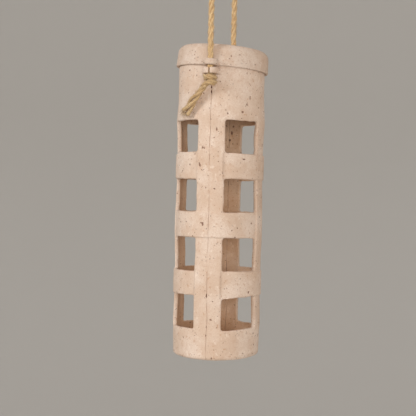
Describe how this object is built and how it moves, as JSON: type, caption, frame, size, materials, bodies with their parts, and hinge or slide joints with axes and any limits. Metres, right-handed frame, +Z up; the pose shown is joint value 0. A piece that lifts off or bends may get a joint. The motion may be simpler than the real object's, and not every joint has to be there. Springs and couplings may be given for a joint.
{
  "type": "hanging bird feeder",
  "caption": "Hanging tube feeder for suet balls: woven-look moulded tube with open windows, a loose lift-up cap on lugs and a jute rope loop.",
  "frame": {"origin": "the point where a hook bears under the top of the rope loop, on the tube's axis, 450 mm above the underside", "axes": "+Z up along the tube's axis, front lug and knot on -Y, +X to the right seen from the front"},
  "size_m": [0.0838, 0.1016, 0.455],
  "materials": {
    "earthenware": "unglazed, matt, pale pinkish beige with brown specks and small pits",
    "jute": "three-ply twisted natural jute, hairy"
  },
  "bodies": {
    "feeder": {"shell_left": "earthenware", "shell_right": "earthenware", "rope_loop": "jute", "knot_front": "jute", "knot_back": "jute", "tail_front": "jute", "tail_back": "jute"},
    "cap": {"lid": "earthenware"}
  },
  "joints": [
    {"name": "lid_lift", "type": "slide", "parent": "feeder", "child": "cap", "axis": [0, 0, 1], "range_m": [0, 0.08]}
  ]
}
